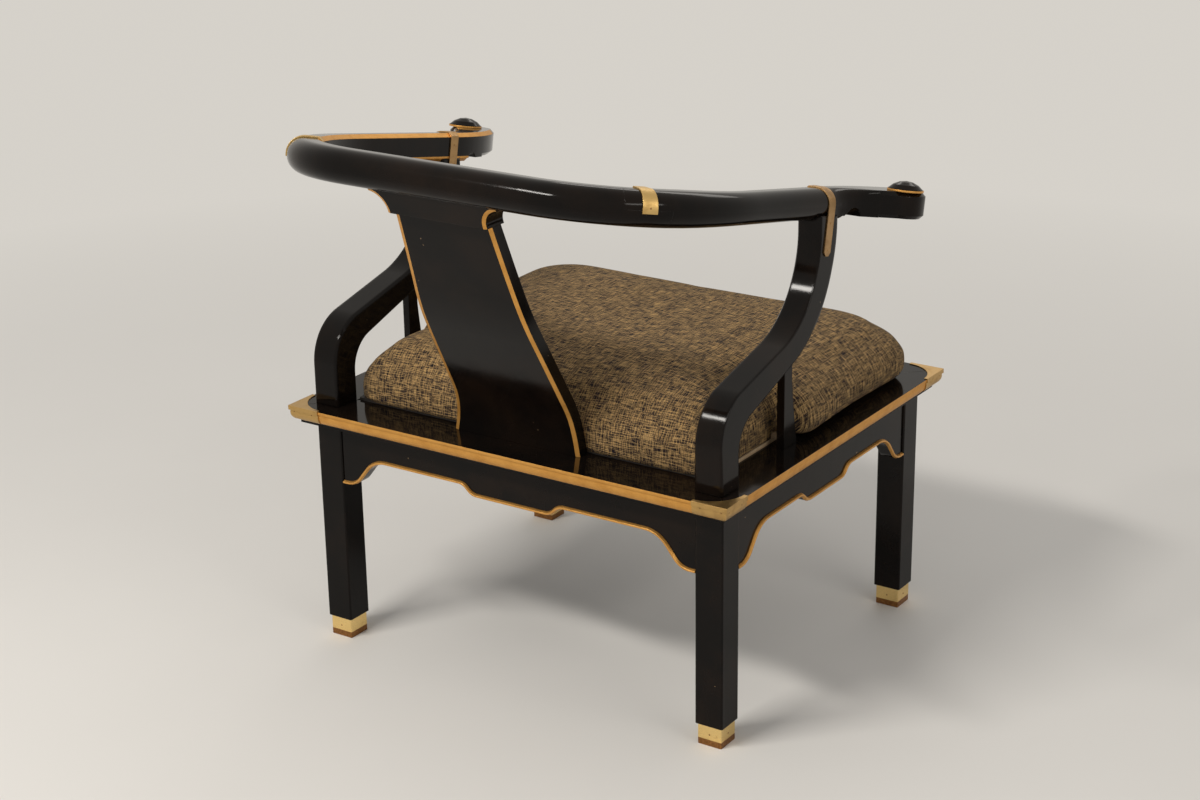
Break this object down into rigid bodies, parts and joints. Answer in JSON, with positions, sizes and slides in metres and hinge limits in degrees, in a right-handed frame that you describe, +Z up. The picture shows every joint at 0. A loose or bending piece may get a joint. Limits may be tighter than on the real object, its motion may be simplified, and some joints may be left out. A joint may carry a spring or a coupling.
{
  "type": "horseshoe back armchair",
  "caption": "Low armchair with a sloping horseshoe crest rail over a leaning splat and swept posts, a moulded mitred seat frame, cusped aprons and a loose cushion.",
  "frame": {"origin": "on the floor, under the middle of the chair's overall box", "axes": "+Z up, the sitter looks along -Y, +X is the sitter's left"},
  "size_m": [0.7842, 0.7396, 0.7751],
  "materials": {
    "lacquer": "high gloss black-brown lacquer",
    "gilding": "satin gold paint",
    "brass": "aged, softly polished",
    "bare_wood": "plain unfinished hardwood",
    "plywood": "bare plywood",
    "tweed": "coarse tweed with dark flecks",
    "dust_cloth": "thin black cambric",
    "screw_steel": "zinc plated"
  },
  "bodies": {
    "root": {"apron_bead_front": "gilding", "apron_bead_left": "gilding", "apron_bead_rear": "gilding", "apron_bead_right": "gilding", "apron_front": "lacquer", "apron_left": "lacquer", "apron_rear": "lacquer", "apron_right": "lacquer", "arm_post_left": "lacquer", "arm_post_right": "lacquer", "arm_strut_left": "lacquer", "arm_strut_right": "lacquer", "back_splat": "lacquer", "corner_block_front_left": "bare_wood", "corner_block_front_right": "bare_wood", "corner_block_rear_left": "bare_wood", "corner_block_rear_right": "bare_wood", "corner_brackets": "brass", "crest_rail_center": "lacquer", "crest_rail_left": "lacquer", "crest_rail_right": "lacquer", "dust_cover": "dust_cloth", "ferrule_front_left": "brass", "ferrule_front_right": "brass", "ferrule_rear_left": "brass", "ferrule_rear_right": "brass", "frame_rail_front": "lacquer", "frame_rail_left": "lacquer", "frame_rail_rear": "lacquer", "frame_rail_right": "lacquer", "leg_front_left": "lacquer", "leg_front_right": "lacquer", "leg_rear_left": "lacquer", "leg_rear_right": "lacquer", "mitre_splines": "bare_wood", "post_strap_left": "brass", "post_strap_right": "brass", "scarf_straps": "brass", "seat_board": "plywood", "seat_cushion": "tweed", "terminal_domes": "lacquer", "terminal_rings": "gilding"}
  },
  "joints": []
}
